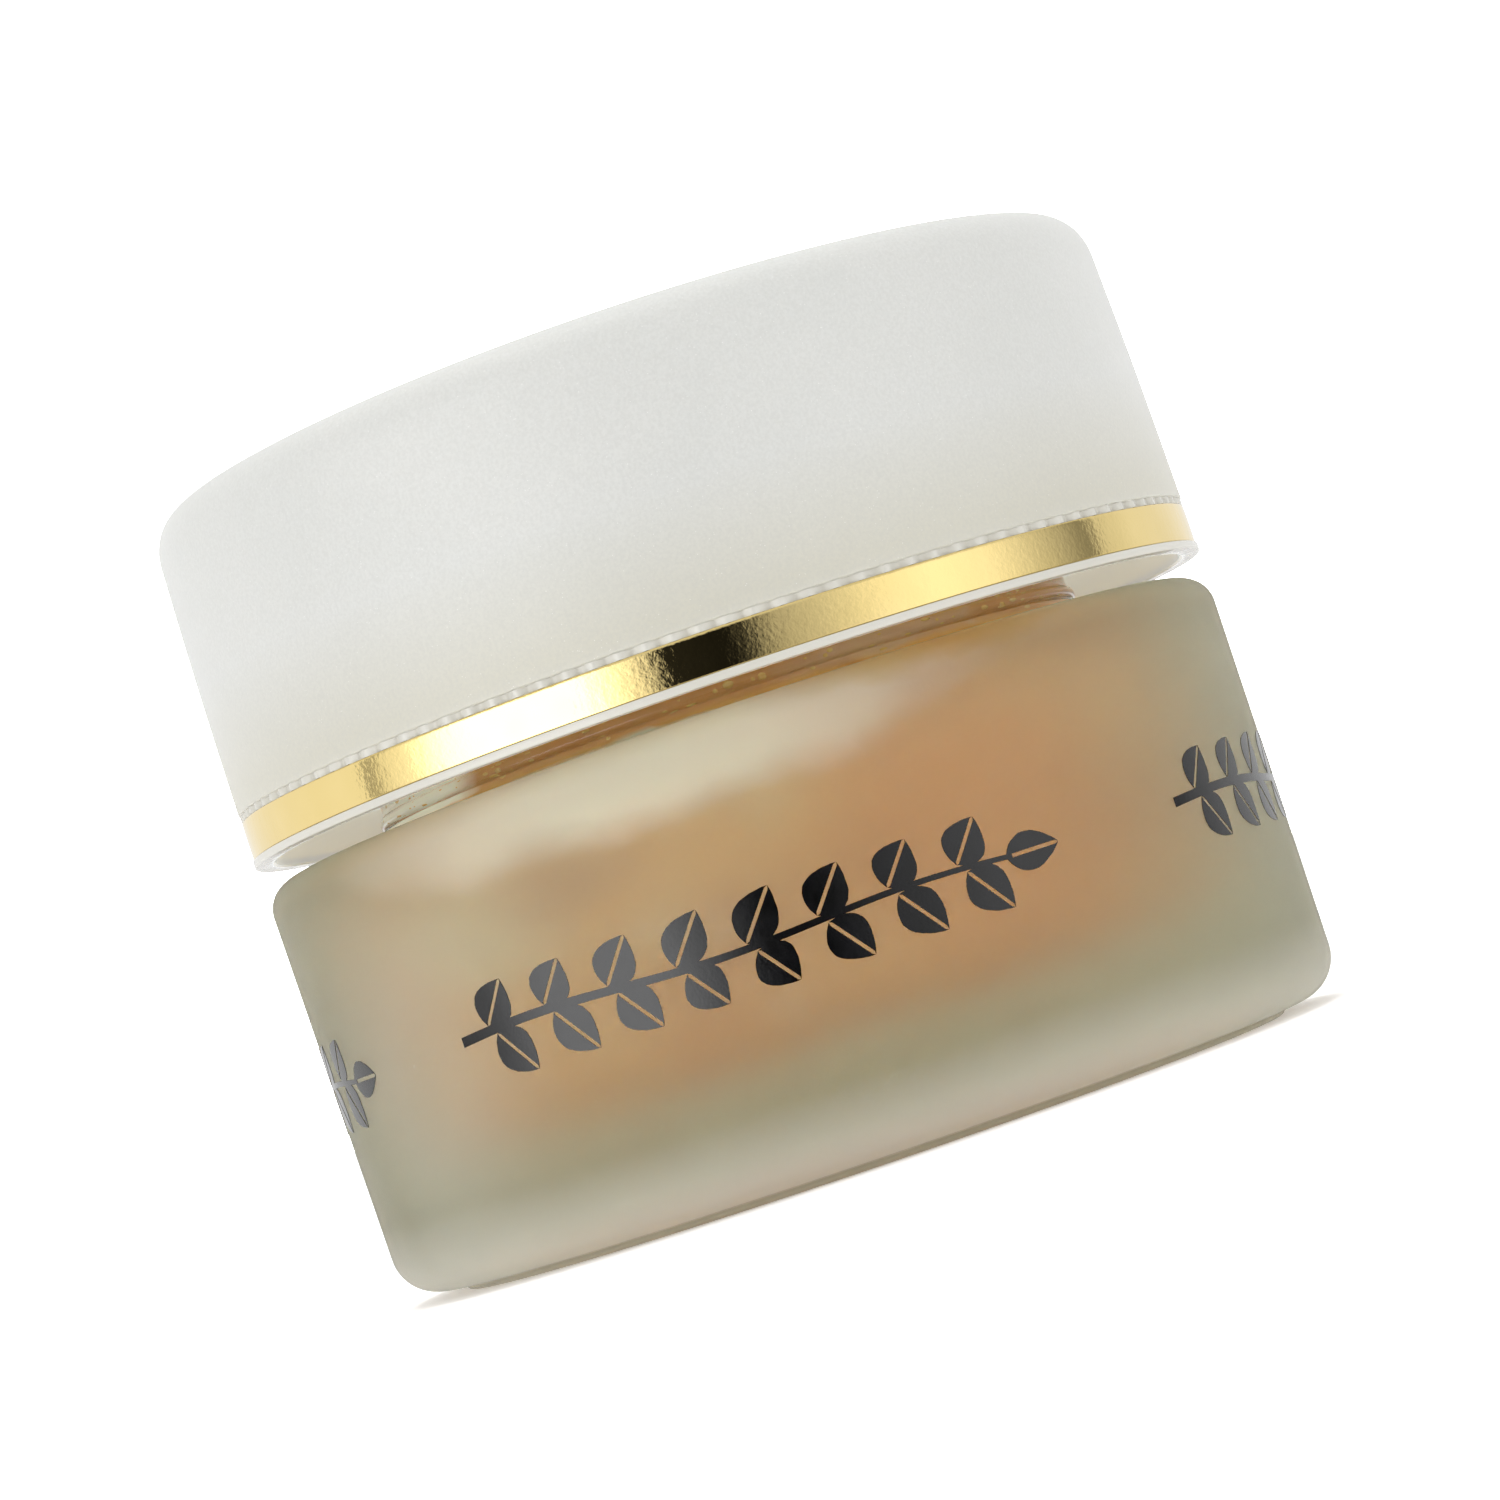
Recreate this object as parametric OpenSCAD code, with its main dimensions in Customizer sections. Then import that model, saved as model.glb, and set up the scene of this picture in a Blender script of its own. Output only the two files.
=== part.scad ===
// Cosmetic cream jar: a thick frosted glass jar with a screw lid, filled with cream.
// Millimetres, +Z up. The origin is the centre of the foot, on the surface the jar stands on.
// The front of the jar faces -Y.

/* [Glass jar] */
// Outside radius of the jar at its shoulder
body_r = 31.15; // [28:0.05:34]
// How much the outside radius shrinks from the shoulder to the heel
body_taper = 0.25; // [0:0.05:0.5]
// Height of the shoulder above the foot
shoulder_z = 27.65; // [24:0.05:32]
// Radius of the rounded shoulder edge
shoulder_edge_r = 1.9; // [0.8:0.1:3]
// Radius of the rounded heel
heel_r = 2.8; // [1.5:0.1:4]
// Outside radius of the raised foot ring
foot_r = 27; // [24:0.1:28]
// Height of the raised foot ring
foot_h = 0.45; // [0.2:0.05:1]
// Inside radius of the foot ring, where the hollow under the base begins
foot_inner_r = 23.4; // [20:0.1:24]
// Depth of the hollow under the base, at its centre
push_up_h = 1.1; // [0.4:0.1:2]
// Thickness of the glass base, from the foot to the bottom of the cavity
base_t = 6.8; // [4:0.1:10]
// Radius of the cavity in the jar's body
cavity_r = 20.6; // [20:0.1:24]
// Radius of the rounded corner at the bottom of the cavity
cavity_corner_r = 5.5; // [3:0.5:10]

/* [Neck] */
// Outside radius of the neck between its threads
neck_r = 22.7; // [22.6:0.05:22.8]
// Height of the neck above the shoulder
neck_h = 13.75; // [12:0.25:14.5]
// Radius of the mouth
bore_r = 19.8; // [19:0.1:20]
// Radius of the rounded lip around the mouth
lip_r = 0.8; // [0.4:0.1:1.1]
// Height of the small bead at the root of the neck
bead_h = 0.9; // [0.5:0.1:1.2]
// How far the bead stands out of the neck
bead_out = 0.35; // [0.2:0.05:0.5]

/* [Thread] */
// Number of thread starts
starts = 2; // [1:1:3]
// Rise of the thread in one full turn
lead = 6; // [5:0.5:8]
// How far the glass thread stands out of the neck
thread_h = 1; // [0.8:0.05:1.1]
// Angle that each glass thread runs around the neck, in degrees
neck_thread_turn = 300; // [180:10:330]
// Angle that each lid thread runs around the skirt, in degrees
lid_thread_turn = 200; // [120:10:220]
// Width of a thread at its root
thread_root_w = 1.45; // [1.2:0.05:1.6]
// Width of a thread at its crest
thread_crest_w = 0.75; // [0.5:0.05:0.9]
// Free space between the lid's thread and the glass, measured outwards
thread_gap = 0.25; // [0.15:0.05:0.3]

/* [Lid] */
// Gap between the glass shoulder and the lower edge of the lid
lid_gap = 1.33; // [0.8:0.01:2]
// Height of the clear lip under the metal band
lip_h = 0.5; // [0.3:0.05:0.8]
// Height of the metal band
band_h = 2.46; // [2:0.01:3]
// Thickness of the metal band
band_t = 0.45; // [0.3:0.05:0.6]
// How far the middle of the band stands out further than its edges
band_crown = 0.06; // [0.02:0.01:0.1]
// Height of the ribbed strip above the metal band
rib_h = 0.44; // [0.3:0.02:0.8]
// Number of ribs around the strip
rib_count = 120; // [60:10:160]
// Depth of the grooves between the ribs
rib_depth = 0.28; // [0.15:0.01:0.35]
// Outside radius of the lid at its lower edge
lid_r = 31.3; // [30.5:0.05:31.5]
// Outside radius of the lid where its top edge begins to round
lid_top_r = 30.95; // [30:0.05:31.2]
// Height of the lid's top edge above the foot, without the dome
lid_edge_z = 51.5; // [50:0.1:54]
// Rise of the shallow dome on top of the lid
dome_h = 0.9; // [0.3:0.1:2]
// Width of the lid's rounded top edge
top_edge_w = 2.2; // [1:0.1:4]
// Height of the lid's rounded top edge
top_edge_h = 2.9; // [1:0.1:4]
// Wall of the outer shell
shell_t = 1.5; // [1.2:0.1:1.8]
// Thickness of the shell's top
shell_top_t = 1.8; // [1.2:0.1:2.5]
// Wall of the inner cap
inner_t = 1.2; // [1:0.1:1.4]

/* [Seal, liner and cream] */
// Thickness of the sealing disc
seal_t = 0.8; // [0.6:0.1:1]
// How far the sealing disc's middle hangs down into the mouth
seal_dish_h = 1.9; // [1.5:0.1:2.4]
// Free space between the sealing disc and the mouth, measured outwards
seal_gap = 0.15; // [0.1:0.05:0.3]
// Thickness of the liner
liner_t = 1.2; // [0.8:0.1:1.6]
// Free space above and below the liner
liner_gap = 0.12; // [0.1:0.02:0.2]
// Height of the cream's surface above the foot
cream_z = 34.6; // [30:0.1:35]

/* [Hidden] */
$fn = 96;

// Heights, from the foot upwards
neck_top_z = shoulder_z + neck_h;
rim_z = shoulder_z + lid_gap;
band_z = rim_z + lip_h;
rib_z = band_z + band_h;
shell_z = rib_z + rib_h;
seal_top_z = neck_top_z + seal_t;
liner_z = seal_top_z + liner_gap;
cap_plate_z = liner_z + liner_t + liner_gap;

// Radii of the lid's inner parts
groove_r = lid_r - band_t;
rib_r = lid_r - 0.12;
shell_inner_r = lid_top_r - shell_t;
plug_r = shell_inner_r - 0.05;
rim_inner_r = lid_r - 1.3;
skirt_inner_r = neck_r + thread_h + thread_gap;
skirt_outer_r = skirt_inner_r + inner_t;
skirt_lift = 2;
liner_side_gap = 0.4;
thread_bite = 0.35;

// A ledge joins the rim to the plug wall, and a web joins that wall to the threaded skirt
ledge_z = shell_z - 0.9;
web_z = shell_z + 1.2;
plug_top_z = web_z + inner_t + 1.6;
snap_z = web_z + 1.8;
snap_r = 0.5;
snap_out = 0.22;
gusset_count = 12;
gusset_t = 1;
gusset_h = 5;

// Threads. Each is given by the height of its middle where it starts. The lid's thread sits above
// the middle of the space between the glass threads, as on a tightened lid, and starts further
// round, so that it begins above the lower edge of the skirt. The start is an angle in degrees.
spacing = lead / starts;
thread_seat = 0.35;
neck_thread_z = shoulder_z + 4.2;
lid_thread_start = 60;
lid_thread_z = neck_thread_z - spacing / 2 + thread_seat + lead * lid_thread_start / 360;
thread_steps_per_turn = 48;
fade_turn = 28;

// Where the cavity narrows to the neck, and how far its floor rises towards the wall
cavity_neck_z = shoulder_z - 3.2;
cavity_neck_h = 4.2;
floor_rise = 0.4;

// Small details of the glass: the foot's bevel, the edge of the hollow under the base, the
// shoulder's rise towards the neck, and the width of the slope at the neck's root
foot_edge = 0.15;
hollow_edge_z = 0.3;
hollow_steps = 8;
shoulder_rise = 0.25;
root_w = 1.6;
root_slope = 0.1;

// Points along an arc about (cx, cz), from angle a0 to angle a1, with separate radii across and up.
function arc(cx, cz, rx, rz, a0, a1, steps = 8) =
  [for (i = [0:steps]) let (a = a0 + (a1 - a0) * i / steps) [cx + rx * cos(a), cz + rz * sin(a)]];

// A smooth step between two points: level at both ends in radius, straight in height.
function ease(r0, z0, r1, z1, steps = 8) =
  [for (i = [1:steps - 1])
    let (t = i / steps)
    [r0 + (r1 - r0) * (1 - cos(180 * t)) / 2, z0 + (z1 - z0) * t]];

// A shallow dome of radius r from its edge at height z to its middle, rise higher.
function dome(r, z, rise, steps = 8) =
  [for (i = [0:steps]) let (x = r * (1 - i / steps)) [x, z + rise * (1 - pow(x / r, 2))]];

// How much of a thread's height there is at angle a of a thread that is turn degrees long.
function fade(a, turn) = min(1, a / fade_turn, (turn - a) / fade_turn);

// One thread: a trapezoid swept up a helix. Its root is at root_r and it stands out by out,
// which is negative for a thread on the inside of a skirt. Both ends sink into the wall.
module thread(root_r, out, turn, z, phase) {
  side = sign(out);
  steps = ceil(turn / 360 * thread_steps_per_turn);
  sunk_r = root_r - side * thread_bite;
  rings = [
    for (i = [0:steps])
      let (
        a = turn * i / steps,
        height = (abs(out) + thread_bite / 2) * fade(a, turn) - thread_bite / 2,
        crest_r = root_r + side * height,
        zc = z + lead * a / 360
      )
      each [
        for (p = [
          [sunk_r, -thread_root_w / 2],
          [crest_r, -thread_crest_w / 2],
          [crest_r, thread_crest_w / 2],
          [sunk_r, thread_root_w / 2]
        ])
        [p[0] * cos(a + phase), p[0] * sin(a + phase), zc + p[1]]
      ]
  ];
  last = 4 * steps;
  start_face = side > 0 ? [3, 2, 1, 0] : [0, 1, 2, 3];
  end_face = side > 0 ? [last, last + 1, last + 2, last + 3] : [last + 3, last + 2, last + 1, last];
  sides = [
    for (i = [0:steps - 1])
      for (j = [0:3])
        let (
          a = 4 * i + j,
          b = 4 * i + (j + 1) % 4,
          c = b + 4,
          d = a + 4
        )
        each (side > 0 ? [[a, b, c], [a, c, d]] : [[a, d, c], [a, c, b]])
  ];
  polyhedron(points = rings, faces = concat([start_face], [end_face], sides), convexity = 6);
}

// All starts of a thread, spaced evenly around the axis.
module threads(root_r, out, turn, z, phase) {
  for (s = [0:starts - 1]) {
    thread(root_r, out, turn, z, phase + 360 * s / starts);
  }
}

// The cavity's wall and floor, from the bottom of the neck down to the axis.
function cavity_outline() =
  let (
    flat_r = cavity_r - cavity_corner_r,
    corner_z = base_t + floor_rise + cavity_corner_r,
    floor_steps = 6
  )
  concat(
    [[bore_r, cavity_neck_z + cavity_neck_h]],
    ease(bore_r, cavity_neck_z + cavity_neck_h, cavity_r, cavity_neck_z),
    [[cavity_r, cavity_neck_z]],
    arc(flat_r, corner_z, cavity_corner_r, cavity_corner_r, 0, -80),
    [for (i = [1:floor_steps])
      let (x = flat_r * (1 - i / floor_steps))
      [x, base_t + floor_rise * pow(x / cavity_r, 2)]]
  );

// Outline of the glass, in radius and height: under the base, up the outside, over the lip
// and down into the cavity.
function glass_outline() =
  let (
    low_r = body_r - body_taper,
    edge_r = shoulder_edge_r,
    root_z = shoulder_z + shoulder_rise,
    fillet_w = 0.9,
    fillet_h = 0.6,
    bead_root = 0.05,
    bead_z = root_z + bead_h / 2 + 0.75
  )
  concat(
    [for (i = [0:hollow_steps])
      let (t = i / hollow_steps)
      [foot_inner_r * t, push_up_h - (push_up_h - hollow_edge_z) * t * t]],
    [[foot_inner_r + hollow_edge_z, 0], [foot_r - foot_edge, 0], [foot_r, foot_edge], [foot_r, foot_h]],
    arc(low_r - heel_r, foot_h + heel_r, heel_r, heel_r, -90, 0),
    arc(body_r - edge_r, shoulder_z - edge_r, edge_r, edge_r, 0, 90),
    [[neck_r + root_w, root_z - root_slope]],
    arc(neck_r + fillet_w + root_slope, root_z + fillet_h, fillet_w, fillet_h, -90, -160, 4),
    arc(neck_r - bead_root, bead_z, bead_out + bead_root, bead_h / 2, -50, 90, 6),
    arc(neck_r - lip_r, neck_top_z - lip_r, lip_r, lip_r, 0, 90, 6),
    arc(bore_r + lip_r, neck_top_z - lip_r, lip_r, lip_r, 90, 180, 6),
    cavity_outline()
  );

// Everything inside the cavity below height z, for the cream.
function fill_outline(z) = concat([[0, z], [bore_r, z]], cavity_outline());

// Thick glass jar with a rounded heel and shoulder, a foot ring and a threaded neck.
module jar_body() {
  color([0.70, 0.69, 0.60, 0.6]) {
    rotate_extrude() polygon(glass_outline());
    threads(neck_r, thread_h, neck_thread_turn, neck_thread_z, 0);
  }
}

// The cream, which fills the cavity up into the neck.
module cream() {
  color([0.76, 0.58, 0.40]) rotate_extrude() polygon(fill_outline(cream_z));
}

// Sealing disc: a flange on the lip, a shallow dish in the mouth, and a grip tab in the dish.
module sealing_disc() {
  flange_r = neck_r - 0.5;
  dish_r = bore_r - seal_gap;
  tab_w = 9;
  tab_t = 1.3;
  tab_h = seal_dish_h - 0.2;
  color([0.93, 0.93, 0.90]) {
    translate([0, 0, neck_top_z]) difference() {
      cylinder(h = seal_t, r = flange_r);
      translate([0, 0, -1]) cylinder(h = seal_t + 2, r = dish_r - seal_t);
    }
    translate([0, 0, neck_top_z - seal_dish_h]) difference() {
      cylinder(h = seal_dish_h + seal_t / 2, r = dish_r);
      translate([0, 0, seal_t]) cylinder(h = seal_dish_h + seal_t, r = dish_r - seal_t);
    }
    translate([0, 0, neck_top_z - seal_dish_h + seal_t / 2]) {
      translate([-tab_w / 2, -tab_t / 2, 0]) cube([tab_w, tab_t, tab_h]);
      for (x = [-tab_w / 2, tab_w / 2]) translate([x, 0, 0]) cylinder(h = tab_h, r = tab_t / 2);
    }
  }
}

// Foam liner that the lid presses on the sealing disc.
module cap_liner() {
  liner_r = skirt_inner_r - liner_side_gap;
  color([0.95, 0.95, 0.94]) translate([0, 0, liner_z]) cylinder(h = liner_t, r = liner_r);
}

// Inner cap: threaded skirt with a top plate, a web out to the rim, the clear lip, the groove
// for the band, the ribbed strip, and a plug wall that snaps into the shell.
module inner_cap() {
  plate_top_z = cap_plate_z + inner_t;
  skirt_z = rim_z + skirt_lift;
  color([0.90, 0.90, 0.87, 0.8]) {
    difference() {
      union() {
        translate([0, 0, skirt_z]) cylinder(h = plate_top_z - skirt_z, r = skirt_outer_r);
        translate([0, 0, web_z]) cylinder(h = inner_t, r = plug_r);
        translate([0, 0, shell_z]) cylinder(h = plug_top_z - shell_z, r = plug_r);
        translate([0, 0, snap_z]) snap_bead(plug_r);
        translate([0, 0, rim_z]) cylinder(h = shell_z - rim_z, r = groove_r);
        translate([0, 0, rim_z]) rim_lip();
        translate([0, 0, rib_z]) linear_extrude(rib_h) rib_outline();
      }
      translate([0, 0, rim_z - 1]) cylinder(h = cap_plate_z - rim_z + 1, r = skirt_inner_r);
      translate([0, 0, rim_z - 1]) cylinder(h = skirt_lift + 1, r = (skirt_outer_r + rim_inner_r) / 2);
      ring_hollow(rim_z - 1, ledge_z, skirt_outer_r, rim_inner_r);
      ring_hollow(ledge_z - 0.1, web_z, skirt_outer_r, plug_r - inner_t);
      ring_hollow(web_z + inner_t, plug_top_z + 1, skirt_outer_r, plug_r - inner_t);
    }
    for (i = [0:gusset_count - 1]) rotate([0, 0, 360 / gusset_count * i]) gusset();
    threads(skirt_inner_r, -thread_h, lid_thread_turn, lid_thread_z, lid_thread_start);
  }
}

// The clear lip at the lid's lower edge, with softened corners.
module rim_lip() {
  edge = 0.12;
  rotate_extrude() polygon([
    [rim_inner_r, 0],
    [lid_r - edge, 0],
    [lid_r, edge],
    [lid_r, lip_h - edge / 2],
    [lid_r - edge / 2, lip_h],
    [rim_inner_r, lip_h]
  ]);
}

// Toothed circle for the ribbed strip.
module rib_outline() {
  step = 360 / rib_count;
  polygon([
    for (i = [0:rib_count - 1])
      for (k = [0, 1])
        let (r = rib_r - k * rib_depth, a = step * (i + k / 2))
        [r * cos(a), r * sin(a)]
  ]);
}

// Ring-shaped space from z0 to z1 between two radii, to be cut away.
module ring_hollow(z0, z1, r_in, r_out) {
  translate([0, 0, z0]) difference() {
    cylinder(h = z1 - z0, r = r_out);
    translate([0, 0, -1]) cylinder(h = z1 - z0 + 2, r = r_in);
  }
}

// Low round bead around a cylinder of radius r.
module snap_bead(r) {
  root_r = r - inner_t + 0.2;
  bulge = arc(r, 0, snap_out, snap_r, -90, 90, 6);
  rotate_extrude() polygon(concat([[root_r, -snap_r]], bulge, [[root_r, snap_r]]));
}

// Upright rib that stiffens the web against the threaded skirt.
module gusset() {
  bite = 0.2;
  span = plug_r - inner_t - skirt_outer_r + 2 * bite;
  toe_h = 0.6;
  translate([skirt_outer_r - bite, gusset_t / 2, web_z + inner_t - bite / 2]) rotate([90, 0, 0])
    linear_extrude(gusset_t) polygon([[0, 0], [span, 0], [span, toe_h], [0, gusset_h]]);
}

// Outer shell: convex side, rounded top edge and a shallow dome, with a groove for the snap bead.
module outer_cap() {
  edge_z = lid_edge_z - top_edge_h;
  edge_in_r = lid_top_r - top_edge_w;
  side_steps = 6;
  side_bow = 0.06;
  inner_top_z = lid_edge_z - shell_top_t;
  inner_edge = 1.4;
  low_r = lid_r - 0.05;
  low_edge = 0.1;
  side = [
    for (i = [0:side_steps])
      let (t = i / side_steps)
      [
        low_r + (lid_top_r - low_r) * t + side_bow * sin(180 * t),
        shell_z + low_edge + (edge_z - shell_z - low_edge) * t
      ]
  ];
  color([0.90, 0.90, 0.87]) rotate_extrude() polygon(concat(
    [[shell_inner_r, shell_z], [low_r - low_edge, shell_z]],
    side,
    arc(edge_in_r, edge_z, top_edge_w, top_edge_h, 10, 90, 8),
    [for (p = dome(edge_in_r, lid_edge_z, dome_h)) if (p[0] < edge_in_r) p],
    [[0, inner_top_z + dome_h / 2]],
    arc(shell_inner_r - inner_edge, inner_top_z - inner_edge, inner_edge, inner_edge, 90, 0, 5),
    [[shell_inner_r, snap_z + snap_r + 0.1]],
    arc(shell_inner_r, snap_z, snap_out, snap_r + 0.02, 80, -80, 6),
    [[shell_inner_r, snap_z - snap_r - 0.1]]
  ));
}

// Metal band: a thin hoop in the groove, slightly crowned.
module metal_band() {
  crown_steps = 6;
  face_r = lid_r - 0.1;
  edge = 0.08;
  color([0.83, 0.70, 0.42]) rotate_extrude() polygon(concat(
    [[groove_r, rib_z], [groove_r, band_z]],
    [for (i = [0:crown_steps])
      let (t = i / crown_steps)
      [face_r + band_crown * sin(180 * t) - (i % crown_steps == 0 ? edge : 0), band_z + band_h * t]]
  ));
}

jar_body();
cream();
sealing_disc();
cap_liner();
inner_cap();
outer_cap();
metal_band();
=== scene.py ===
import math
import random

import bmesh
import bpy
from mathutils import Matrix, Vector


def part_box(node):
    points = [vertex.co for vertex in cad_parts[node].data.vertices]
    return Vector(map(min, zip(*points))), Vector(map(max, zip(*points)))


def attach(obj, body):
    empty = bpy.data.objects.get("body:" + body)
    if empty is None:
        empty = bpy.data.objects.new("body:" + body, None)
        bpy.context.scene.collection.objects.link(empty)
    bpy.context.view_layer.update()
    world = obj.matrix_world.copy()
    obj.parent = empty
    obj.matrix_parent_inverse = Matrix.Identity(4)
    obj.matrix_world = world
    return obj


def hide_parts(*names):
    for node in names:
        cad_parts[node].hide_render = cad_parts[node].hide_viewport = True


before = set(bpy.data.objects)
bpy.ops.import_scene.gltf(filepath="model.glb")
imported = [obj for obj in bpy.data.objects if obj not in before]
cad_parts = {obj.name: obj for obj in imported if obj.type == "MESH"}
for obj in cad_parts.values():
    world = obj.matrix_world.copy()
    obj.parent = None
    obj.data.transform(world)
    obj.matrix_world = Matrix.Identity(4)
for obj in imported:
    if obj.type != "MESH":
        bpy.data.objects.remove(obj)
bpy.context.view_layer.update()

MM = 0.001
TURN = 2 * math.pi
SEGMENTS = 288  # around every turned piece

# ------------------------------------------------------------------ sizes, in millimetres
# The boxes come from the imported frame. The other numbers follow the CAD design's own dimensions,
# apart from the printed sprig's, which has no CAD solid.


def box_mm(node):
    """A CAD node's lowest and highest corner, in millimetres."""
    low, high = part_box(node)
    return [v / MM for v in low], [v / MM for v in high]


_, jar_high = box_mm("jar_body")
cream_low, cream_high = box_mm("cream")
seal_low, seal_high = box_mm("sealing_disc")
liner_low, liner_high = box_mm("cap_liner")
inner_low, inner_high = box_mm("inner_cap")
band_low, band_high = box_mm("metal_band")
shell_low, shell_high = box_mm("outer_cap")

BODY_R = jar_high[0]
BODY_TAPER = 0.25
SHOULDER_Z = 27.65
SHOULDER_EDGE_R = 1.9
HEEL_R = 2.8
FOOT_R = 27.0
FOOT_H = 0.45
FOOT_INNER_R = 23.4
PUSH_UP_H = 1.1
NECK_TOP_Z = jar_high[2]
NECK_R = 22.7
BORE_R = 19.8
LIP_R = 0.8
CAVITY_R = cream_high[0]
CAVITY_CORNER_R = 5.5
CAVITY_FLOOR_Z = cream_low[2]
CAVITY_FLOOR_RISE = 0.4
SHOULDER_GLASS_T = 3.2
CAVITY_TOP_Z = SHOULDER_Z - SHOULDER_GLASS_T
CAVITY_EASE_H = 4.2

LEAD = 6.0
STARTS = 2
THREAD_H = 1.0
THREAD_W = 1.6
THREAD_FADE = math.radians(28)
NECK_THREAD_TURN = math.radians(300)
NECK_THREAD_RISE = 4.2
NECK_THREAD_Z = SHOULDER_Z + NECK_THREAD_RISE
LID_THREAD_TURN = math.radians(200)
LID_THREAD_START = math.radians(60)
THREAD_PLAY = 0.35  # lifts the lid's thread towards the neck's, so that their flanks nearly meet
LID_THREAD_Z = NECK_THREAD_Z - LEAD / STARTS / 2 + THREAD_PLAY + LEAD * LID_THREAD_START / TURN
THREAD_STEP = 0.1  # height between rings where there is a thread

RIM_Z = inner_low[2]
LIP_H = 0.5
RIB_Z = band_high[2]
SHELL_Z = shell_low[2]
LID_R = 31.3
LID_TOP_R = 30.95
LID_EDGE_Z = 51.5
LID_TOP_Z = shell_high[2]
TOP_EDGE_W = 2.2
TOP_EDGE_H = 2.9
RIM_T = 1.3
RIM_INNER_R = LID_R - RIM_T
BAND_T = 0.45
GROOVE_R = LID_R - BAND_T
SHELL_T = 1.5
SHELL_INNER_R = LID_TOP_R - SHELL_T
PLUG_GAP = 0.05
PLUG_R = SHELL_INNER_R - PLUG_GAP
INNER_T = 1.2
THREAD_GAP = 0.25
SKIRT_INNER_R = NECK_R + THREAD_H + THREAD_GAP
SKIRT_OUTER_R = SKIRT_INNER_R + INNER_T
SKIRT_LIFT = 2.0
SKIRT_Z = RIM_Z + SKIRT_LIFT
PLATE_TOP_Z = inner_high[2]
PLATE_Z = PLATE_TOP_Z - INNER_T
LEDGE_Z = SHELL_Z - 0.9
WEB_Z = SHELL_Z + 1.2
PLUG_TOP_Z = WEB_Z + INNER_T + 1.6
RIB_COUNT = 120
RIB_DEPTH = 0.28
GUSSET_COUNT = 12

INK_LOW_Z = 11.6
INK_HIGH_Z = 17.1
INK_REPEATS = 4
INK_SPAN = math.radians(72)
INK_CENTRE = math.radians(-6)
INK_T = 0.03  # how far the print stands out of the glass, and reaches into it


# ------------------------------------------------------------------ outlines


def arc(cx, cz, rx, rz, start, end, steps=10):
    """Points along an arc about (cx, cz), from angle start to angle end in degrees."""
    angles = [math.radians(start + (end - start) * i / steps) for i in range(steps + 1)]
    return [(cx + rx * math.cos(a), cz + rz * math.sin(a)) for a in angles]


def corner(cx, cz, r, start, end, steps):
    """Points along a round arc: the rounded edges of the outlines."""
    return arc(cx, cz, r, r, start, end, steps)


def line(start, end, step):
    """Evenly spaced points after start, up to and with end."""
    count = max(1, round(math.dist(start, end) / step))
    return [
        (start[0] + (end[0] - start[0]) * i / count, start[1] + (end[1] - start[1]) * i / count)
        for i in range(1, count + 1)
    ]


def ease(r0, z0, r1, z1, steps=10):
    """Points between two ends, level in radius at both."""
    return [
        (r0 + (r1 - r0) * (1 - math.cos(math.pi * i / steps)) / 2, z0 + (z1 - z0) * i / steps)
        for i in range(1, steps)
    ]


def smooth(x):
    """0 below 0, 1 above 1, and a smooth step between."""
    x = min(1.0, max(0.0, x))
    return x * x * (3 - 2 * x)


def cavity_outline(top_z, grow=0.0):
    """The cavity's wall and floor from height top_z down to the axis, grown outwards by grow."""
    bore = BORE_R + grow
    wall = CAVITY_R + grow
    corner_r = CAVITY_CORNER_R
    floor = CAVITY_FLOOR_Z - grow
    flat_r = wall - corner_r
    floor_steps = 8
    points = [(bore, top_z), (bore, CAVITY_TOP_Z + CAVITY_EASE_H)]
    points += ease(bore, CAVITY_TOP_Z + CAVITY_EASE_H, wall, CAVITY_TOP_Z)
    points += [(wall, CAVITY_TOP_Z)]
    points += corner(flat_r, floor + CAVITY_FLOOR_RISE + corner_r, corner_r, 0, -80, 10)
    for i in range(1, floor_steps + 1):
        x = flat_r * (1 - i / floor_steps)
        points.append((x, floor + CAVITY_FLOOR_RISE * (x / wall) ** 2))
    return points


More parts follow.
